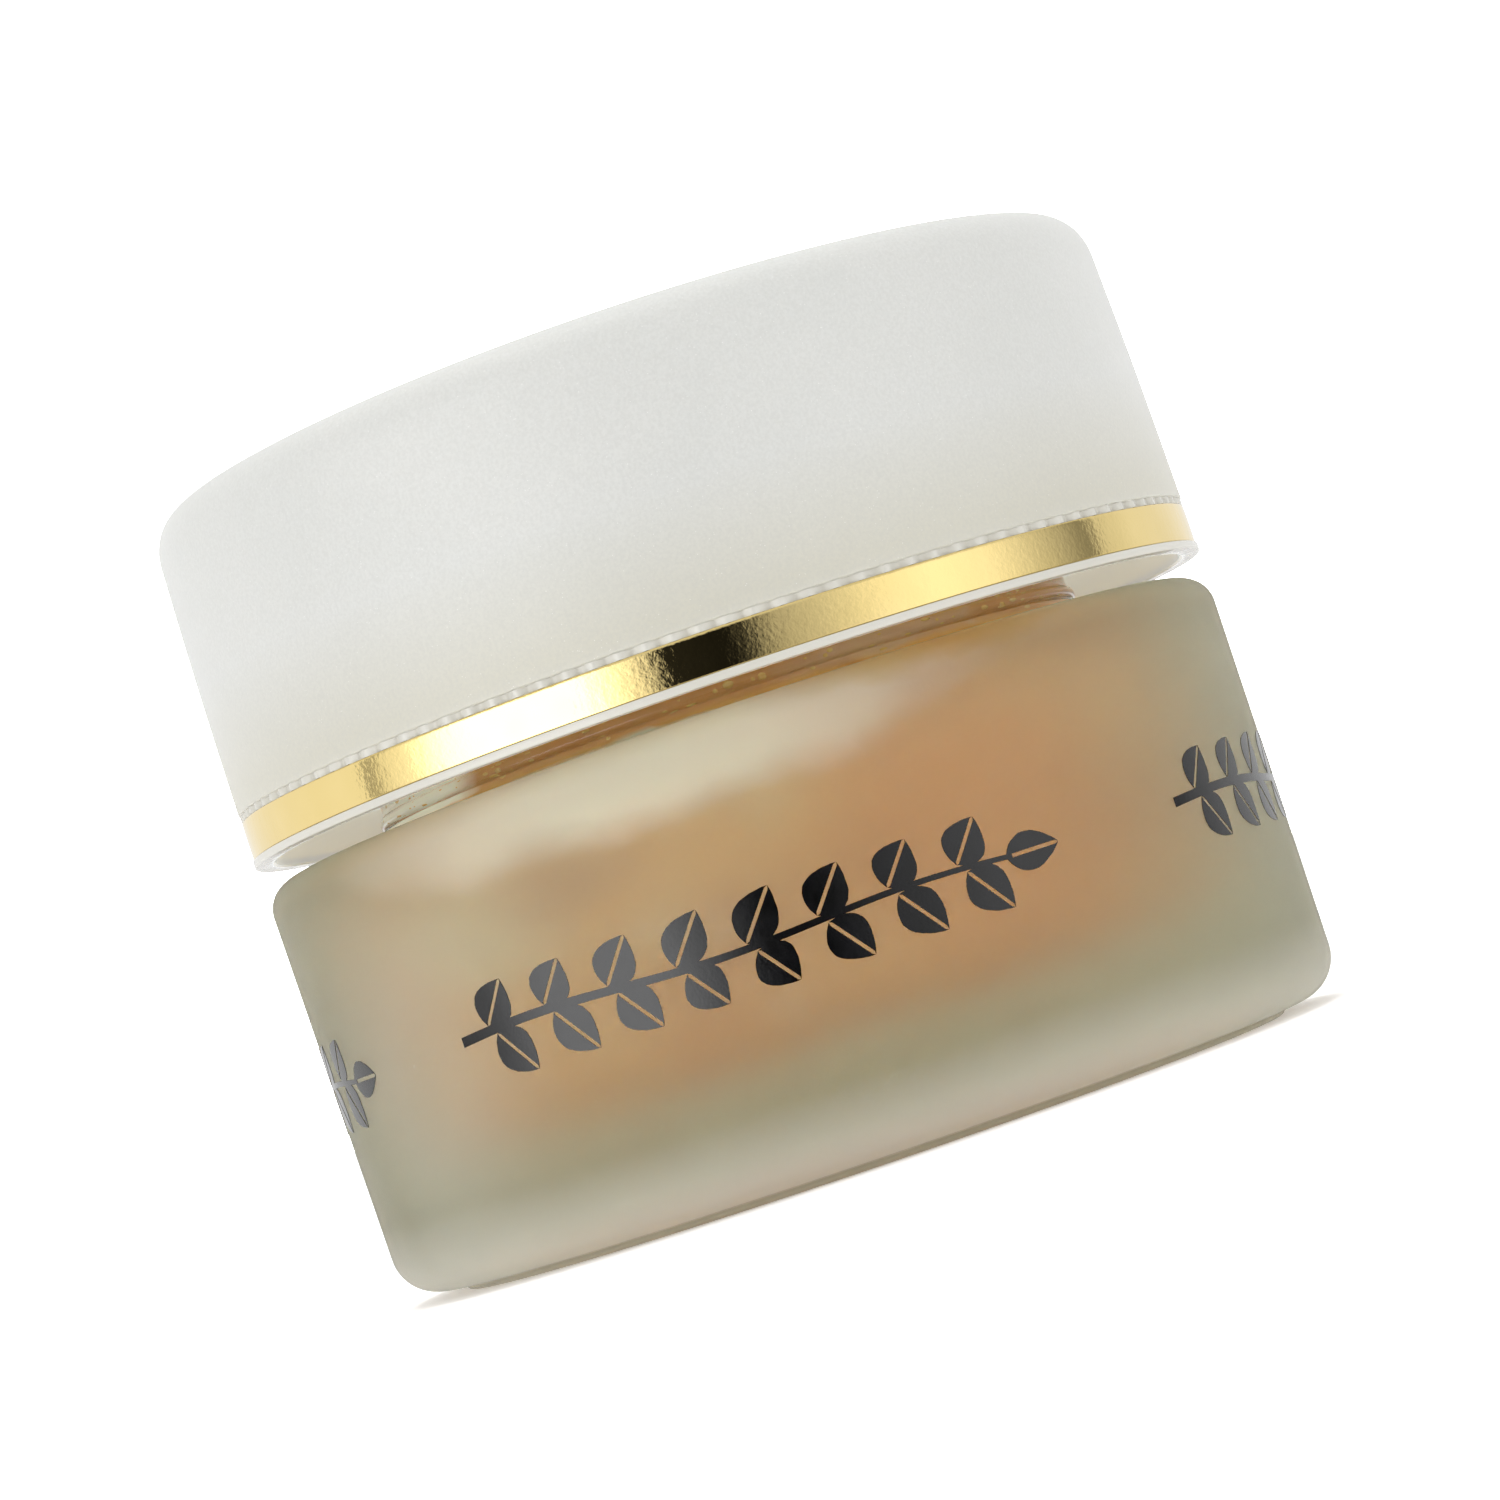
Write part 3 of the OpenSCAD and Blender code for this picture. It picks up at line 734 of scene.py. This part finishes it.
def add_gusset(bm, angle):
    """Adds one stiffening rib between the web and the threaded skirt, with softened top edges."""
    half_t, soft, low_z = 0.5, 0.18, WEB_Z + INNER_T - 0.06
    inner_h, outer_h, overlap = 5.0, 0.6, 0.1
    cos_a, sin_a = math.cos(angle), math.sin(angle)
    rings = []
    ends = ((SKIRT_OUTER_R - overlap, low_z + inner_h), (PLUG_R - INNER_T + overlap, low_z + outer_h))
    for r, top_z in ends:
        section = [(-half_t, low_z), (half_t, low_z), (half_t, top_z - soft), (half_t - soft, top_z),
                   (soft - half_t, top_z), (-half_t, top_z - soft)]
        rings.append([
            bm.verts.new((r * cos_a - y * sin_a, r * sin_a + y * cos_a, z)) for y, z in section
        ])
    count = len(rings[0])
    for k in range(count):
        j = (k + 1) % count
        bm.faces.new((rings[0][k], rings[0][j], rings[1][j], rings[1][k]))
    bm.faces.new(rings[0])
    bm.faces.new(rings[1])


def make_inner_cap():
    """The inner cap: threaded skirt, top plate, web, rim lip, groove, ribbed strip and plug wall."""
    def shape(r, z, angle):
        if abs(r - SKIRT_INNER_R) < 1e-6 and z < PLATE_Z - 1:
            r -= THREAD_H * thread_height(angle - LID_THREAD_START, z, LID_THREAD_Z, LID_THREAD_TURN)
        if r > GROOVE_R and z > RIB_Z - 0.01:
            r -= RIB_DEPTH * (0.5 - 0.5 * math.cos(RIB_COUNT * angle))
        return r, z

    edge = 0.12
    bevel, plate_bevel, plate_edge = 0.3, 0.5, 0.6
    rib_r = LID_R - 0.12
    points = [(0, PLATE_Z)]
    points += [(SKIRT_INNER_R - plate_bevel, PLATE_Z), (SKIRT_INNER_R, PLATE_Z - plate_bevel)]
    points += line(points[-1], (SKIRT_INNER_R, SKIRT_Z + bevel), THREAD_STEP)
    points += [(SKIRT_INNER_R + bevel, SKIRT_Z), (SKIRT_OUTER_R - bevel, SKIRT_Z)]
    points += [(SKIRT_OUTER_R, SKIRT_Z + bevel), (SKIRT_OUTER_R, WEB_Z - bevel)]
    points += [(SKIRT_OUTER_R + bevel, WEB_Z)]
    points += [(PLUG_R - INNER_T, WEB_Z), (PLUG_R - INNER_T, LEDGE_Z), (RIM_INNER_R, LEDGE_Z)]
    points += line(points[-1], (RIM_INNER_R, RIM_Z + edge), 0.5)
    points += [(RIM_INNER_R + edge, RIM_Z), (LID_R - edge, RIM_Z)]
    points += corner(LID_R - edge, RIM_Z + edge, edge, 290, 360, 3)
    points += corner(LID_R - edge / 2, RIM_Z + LIP_H - edge / 2, edge / 2, 0, 90, 2)
    points += [(GROOVE_R, RIM_Z + LIP_H), (GROOVE_R, RIB_Z)]
    points += [(rib_r, RIB_Z), (rib_r, RIB_Z + 0.2), (rib_r, SHELL_Z), (PLUG_R, SHELL_Z)]
    points += [(PLUG_R, PLUG_TOP_Z), (PLUG_R - INNER_T, PLUG_TOP_Z), (PLUG_R - INNER_T, WEB_Z + INNER_T)]
    points += [(SKIRT_OUTER_R, WEB_Z + INNER_T), (SKIRT_OUTER_R, PLATE_TOP_Z - plate_edge)]
    points += [(SKIRT_OUTER_R - plate_edge, PLATE_TOP_Z), (0, PLATE_TOP_Z)]
    bm = bmesh.new()
    revolve(bm, points, segments=RIB_COUNT * 8, shape=shape)
    for i in range(GUSSET_COUNT):
        add_gusset(bm, TURN * i / GUSSET_COUNT)
    moulding = add_object("inner_cap_moulding", bm, 35)
    finish_piece(moulding, "lid", "clear_plastic", clear_plastic(), "inner_cap")


def make_seal():
    """The sealing disc: a flange on the lip, a dish in the mouth, moulded rings and a grip tab."""
    low, high = seal_low[2], seal_high[2]
    flange_r = seal_high[0]
    dish_r = BORE_R - 0.15
    t = high - NECK_TOP_Z
    floor_z = low + t
    ring_half_w, ring_h = 0.5, 0.25
    dish_round, rim_round, under_round = 0.6, 0.3, 0.15
    points = [(0, floor_z)]
    for centre in (6.0, 10.0, 14.0):
        points += [(centre - ring_half_w, floor_z), (centre, floor_z + ring_h)]
        points += [(centre + ring_half_w, floor_z)]
    points += corner(dish_r - t - dish_round, floor_z + dish_round, dish_round, 270, 360, 5)
    points += corner(dish_r - t + rim_round, high - rim_round, rim_round, 180, 90, 4)
    points += corner(flange_r - rim_round, high - rim_round, rim_round, 90, 0, 4)
    points += corner(flange_r - under_round, NECK_TOP_Z + under_round, under_round, 0, -90, 3)
    points += [(dish_r, NECK_TOP_Z + 0.02)]
    points += corner(dish_r - dish_round, low + dish_round, dish_round, 0, -90, 5)
    points += [(0, low)]
    bm = bmesh.new()
    revolve(bm, points)
    seal = add_object("sealing_disc_moulding", bm, 35)
    material = disc_plastic()
    finish_piece(seal, "seal", "disc_plastic", material, "sealing_disc")
    make_grip_tab(floor_z, high - floor_z - 0.25, material)


def make_grip_tab(floor_z, tab_h, material):
    """The disc's grip tab: a rounded upright fin with three ridges along each side."""
    half_w, half_t, sunk = 4.5, 0.65, 0.05
    ridges, ridge_half_h = 3, 0.12
    foot_h, foot_swell, ridge_swell, top_swell = 0.25, 1.15, 1.22, 0.72
    end_steps = 12
    ends = [math.radians(-90 + 180 * i / end_steps) for i in range(end_steps + 1)]
    outline = [(half_w + half_t * math.cos(a), half_t * math.sin(a)) for a in ends]
    outline += [(-x, -y) for x, y in outline]
    levels = [(0.0, foot_swell), (foot_h, 1.0)]
    for k in range(ridges):
        z = foot_h + (tab_h - 2 * foot_h) * (k + 0.5) / ridges
        levels += [(z - ridge_half_h, 1.0), (z, ridge_swell), (z + ridge_half_h, 1.0)]
    levels += [(tab_h - 0.15, 1.0), (tab_h, top_swell)]
    bm = bmesh.new()
    rings = []
    for z, swell in levels:
        longer = 1 + (swell - 1) * half_t / half_w
        rings.append([bm.verts.new((x * longer, y * swell, floor_z - sunk + z)) for x, y in outline])
    for a, b in zip(rings, rings[1:]):
        for i in range(len(a)):
            j = (i + 1) % len(a)
            bm.faces.new((a[i], a[j], b[j], b[i]))
    bm.faces.new(rings[0])
    bm.faces.new(rings[-1])
    finish_piece(add_object("seal_grip_tab", bm, 40), "seal", "disc_plastic", material)


def make_liner():
    """The foam liner, with the shallow ring that the mouth has pressed into its underside."""
    low, high = liner_low[2], liner_high[2]
    r = liner_high[0]
    pressed, low_round, top_round = 0.16, 0.15, 0.25
    points = [(0, low)]
    points += [(i * 1.5, low) for i in range(1, 13)]
    points += [(BORE_R - 0.8, low), (BORE_R - 0.2, low + pressed), (BORE_R + 1.6, low + pressed)]
    points += [(BORE_R + 2.2, low)]
    points += corner(r - low_round, low + low_round, low_round, 270, 360, 4)
    points += corner(r - top_round, high - top_round, top_round, 0, 90, 4)
    points += [(r - 6 - i * 2, high) for i in range(8)] + [(0, high)]
    bm = bmesh.new()
    revolve(bm, points)
    finish_piece(add_object("liner_disc", bm, 40), "liner", "liner_foam", liner_foam(), "cap_liner")


def body_radius(z):
    """Outside radius of the glass wall at height z."""
    low_z = FOOT_H + HEEL_R
    share = (z - low_z) / (SHOULDER_Z - SHOULDER_EDGE_R - low_z)
    return BODY_R - BODY_TAPER * (1 - share)


def on_wall(u, z, proud):
    """A point on the glass wall, u millimetres round from the front (-Y) to the right."""
    r = body_radius(z) + proud
    angle = u / BODY_R
    return (r * math.sin(angle), -r * math.cos(angle), z)


def ink_strip(bm, left, right):
    """Adds a thin printed patch between two edges, each a list of (u, z) points."""
    columns = 4
    grid = []
    for (u0, z0), (u1, z1) in zip(left, right):
        row = []
        for k in range(columns + 1):
            t = k / columns
            row.append((u0 + (u1 - u0) * t, z0 + (z1 - z0) * t))
        grid.append(row)
    top = [[bm.verts.new(on_wall(u, z, INK_T)) for u, z in row] for row in grid]
    under = [[bm.verts.new(on_wall(u, z, -INK_T)) for u, z in row] for row in grid]
    rows = len(grid)
    for i in range(rows - 1):
        for k in range(columns):
            bm.faces.new((top[i][k], top[i][k + 1], top[i + 1][k + 1], top[i + 1][k]))
            bm.faces.new((under[i][k], under[i + 1][k], under[i + 1][k + 1], under[i][k + 1]))
        for k, flip in ((0, False), (columns, True)):
            quad = (top[i][k], top[i + 1][k], under[i + 1][k], under[i][k])
            bm.faces.new(quad[::-1] if flip else quad)
    for i, flip in ((0, True), (rows - 1, False)):
        for k in range(columns):
            quad = (top[i][k], top[i][k + 1], under[i][k + 1], under[i][k])
            bm.faces.new(quad[::-1] if flip else quad)


def leaf(bm, root, angle, length, width, rng):
    """Adds one leaf: two curved halves with a narrow bare vein between them."""
    steps, vein_half_w, ragged_by = 18, 0.11, 0.018
    cos_a, sin_a = math.cos(angle), math.sin(angle)
    for side in (1, -1):
        inner, outer = [], []
        for i in range(steps + 1):
            t = i / steps
            s = length * t
            half = width / 2 * math.sin(math.pi * t ** 0.8) ** 0.85 if 0 < t < 1 else 0.0
            vein = min(vein_half_w, half * 0.5)
            ragged = rng.uniform(-ragged_by, ragged_by)
            edge = max(vein + 0.01, half + ragged)
            for store, across in ((inner, side * max(vein, 0.005)), (outer, side * edge)):
                store.append((root[0] + s * cos_a - across * sin_a, root[1] + s * sin_a + across * cos_a))
        ink_strip(bm, inner, outer)


def make_ornament():
    """The printed ornament: a leafy sprig, repeated around the jar."""
    rng = random.Random(5)
    middle = (INK_LOW_Z + INK_HIGH_Z) / 2
    half_h = (INK_HIGH_Z - INK_LOW_Z) / 2
    length = INK_SPAN * BODY_R
    wave, stem_steps, stem_half_w = 0.25, 72, 0.30
    pairs, lean, leaf_w = 8, math.radians(52), 2.7
    tip_len, tip_w, tip_space = 3.6, 2.3, 3.2
    stem_len = length - tip_space

    def stem_z(t):
        return middle + wave * math.sin(TURN * 1.5 * t)

    material = black_ink()
    for n in range(INK_REPEATS):
        centre = (INK_CENTRE + TURN * n / INK_REPEATS) * BODY_R
        start = centre - length / 2
        bm = bmesh.new()
        upper, lower = [], []
        for i in range(stem_steps + 1):
            t = i / stem_steps
            thick = stem_half_w * (1 - 0.5 * t)
            upper.append((start + stem_len * t, stem_z(t) + thick))
            lower.append((start + stem_len * t, stem_z(t) - thick))
        ink_strip(bm, upper, lower)
        for k in range(pairs):
            t = (k + 0.55) / (pairs + 0.35)
            u, z = start + stem_len * t, stem_z(t)
            for side in (1, -1):
                reach = half_h - 0.02
                leaf_len = (reach - side * (z - middle) - 0.3) / math.sin(lean) + 0.15
                root = (u + (0.5 if side < 0 else 0.0), z + side * 0.28)
                leaf(bm, root, side * lean, leaf_len, leaf_w, rng)
        leaf(bm, (start + length - tip_len, stem_z(1)), 0.0, tip_len, tip_w, rng)
        sprig = add_object(f"printed_sprig_{n + 1}", bm, 30)
        finish_piece(sprig, "jar", "frosted_glass", material)


# ------------------------------------------------------------------ studio


def make_floor():
    """A plain pale floor. Its glow is painted light, stronger away from the jar, so that it shows white out
    to the horizon.
    """
    size = 40.0
    bm = bmesh.new()
    bmesh.ops.create_grid(bm, x_segments=1, y_segments=1, size=size / 2 / MM)
    floor = add_object("studio_floor", bm)
    s = Shader("floor_white", roughness=0.9, emission_color=(1, 1, 1, 1))
    s.feed("Base Color", s.ramp(s.noise(300.0), (0.0, (0.93, 0.93, 0.93)), (1.0, (0.95, 0.95, 0.95))))
    radius, _ = s.place()
    # Painted light: the glow is a little weaker right by the jar and grows further out.
    near = s.remap(radius, 0.029, 0.045, 0.17, 0.26)
    s.feed("Emission Strength", s.math("MAXIMUM", near, s.remap(radius, 0.1, 0.4, 0.26, 0.5)))
    floor.data.materials.append(s.material)
    floor.visible_glossy = False


def make_camera():
    """Low and close in front of the jar, looking slightly up, rolled so that the jar leans left."""
    data = bpy.data.cameras.new("camera")
    camera = bpy.data.objects.new("camera", data)
    bpy.context.scene.collection.objects.link(camera)
    data.sensor_width = 36.0
    data.lens = 113.8
    data.clip_start = 0.01
    data.clip_end = 100.0
    distance, height = 0.2987, 0.01055
    pitch, yaw, roll = math.radians(3.03), math.radians(-0.10), math.radians(-18.73)
    camera.location = (0, -distance, height)
    aim = Matrix.Rotation(yaw, 3, "Z") @ Matrix.Rotation(math.pi / 2 + pitch, 3, "X")
    camera.rotation_euler = (aim @ Matrix.Rotation(roll, 3, "Z")).to_euler()
    bpy.context.scene.camera = camera


def make_world():
    """A white studio, seen as plain white, that lights with soft panels to the left and right."""
    scene = bpy.context.scene
    world = bpy.data.worlds.new("studio")
    scene.world = world
    world.use_nodes = True
    nodes, links = world.node_tree.nodes, world.node_tree.links
    background = nodes["Background"]
    coords = nodes.new("ShaderNodeTexCoord")
    split = nodes.new("ShaderNodeSeparateXYZ")
    links.new(coords.outputs["Generated"], split.inputs[0])
    back = nodes.new("ShaderNodeMath")
    back.operation = "MULTIPLY"
    back.inputs[1].default_value = -1
    links.new(split.outputs["Y"], back.inputs[0])
    turn = nodes.new("ShaderNodeMath")
    turn.operation = "ARCTAN2"
    links.new(split.outputs["X"], turn.inputs[0])
    links.new(back.outputs[0], turn.inputs[1])
    spread = nodes.new("ShaderNodeMapRange")
    spread.inputs["From Min"].default_value = -math.pi
    spread.inputs["From Max"].default_value = math.pi
    links.new(turn.outputs[0], spread.inputs["Value"])
    ramp = nodes.new("ShaderNodeValToRGB")
    brightest = 3.3
    stops = [  # degrees to the right of the camera's side, and brightness
        (-180, 0.95), (-92, 1.0), (-89, 0.35), (-85, 0.9), (-76, 1.2), (-64, 3.0), (-58, 3.3), (-31, 3.3),
        (-22, 1.6), (-15, 0.85), (-12, 0.35), (-10, 0.02), (5, 0.01), (9, 0.06), (16, 0.46), (27, 0.70),
        (42, 1.15), (56, 1.32), (70, 1.15), (84, 0.7), (101, 0.25), (107, 0.75), (120, 0.9), (180, 0.95),
    ]
    elements = ramp.color_ramp.elements
    while len(elements) < len(stops):
        elements.new(0.5)
    for element, (degrees, value) in zip(elements, stops):
        grey = value / brightest
        element.position = (degrees + 180) / 360
        element.color = (grey, grey, grey, 1)
    links.new(spread.outputs[0], ramp.inputs["Fac"])
    rise = nodes.new("ShaderNodeMapRange")
    rise.inputs["From Min"].default_value = 0.26
    rise.inputs["From Max"].default_value = 0.40
    links.new(split.outputs["Z"], rise.inputs["Value"])
    blend = nodes.new("ShaderNodeMix")
    blend.data_type = "RGBA"
    above = 0.72 / brightest
    blend.inputs[7].default_value = (above, above, above, 1)
    links.new(rise.outputs[0], blend.inputs[0])
    links.new(ramp.outputs["Color"], blend.inputs[6])
    seen = nodes.new("ShaderNodeLightPath")
    pick = nodes.new("ShaderNodeMix")
    pick.data_type = "RGBA"
    pick.inputs[7].default_value = (1, 1, 1, 1)
    links.new(seen.outputs["Is Camera Ray"], pick.inputs[0])
    links.new(blend.outputs[2], pick.inputs[6])
    links.new(pick.outputs[2], background.inputs["Color"])
    background.inputs["Strength"].default_value = brightest


def make_lights():
    """A soft panel at the right and a stronger one overhead. The world lights the left."""
    panels = [
        ("panel_right", (0.6, -0.45, 0.25), 0.45, 0.6),
        ("panel_top", (0.0, 0.1, 0.8), 0.6, 5.0),
    ]
    for name, place, size, power in panels:
        data = bpy.data.lights.new(name, "AREA")
        data.size = size
        data.energy = power
        light = bpy.data.objects.new(name, data)
        light.location = place
        light.visible_glossy = False
        aim = Vector((0, 0, 0.026)) - Vector(place)
        light.rotation_euler = aim.to_track_quat("-Z", "Y").to_euler()
        bpy.context.scene.collection.objects.link(light)


def set_look():
    """Plain tone mapping and enough light bounces for the glass."""
    scene = bpy.context.scene
    scene.view_settings.view_transform = "Standard"
    scene.cycles.max_bounces = 16
    scene.cycles.transmission_bounces = 12
    scene.cycles.transparent_max_bounces = 12
    scene.cycles.use_denoising = True


make_camera()
make_world()
make_lights()
make_floor()
make_jar()
make_cream()
make_bubbles()
make_ornament()
make_seal()
make_liner()
make_inner_cap()
make_band()
make_shell()
set_look()
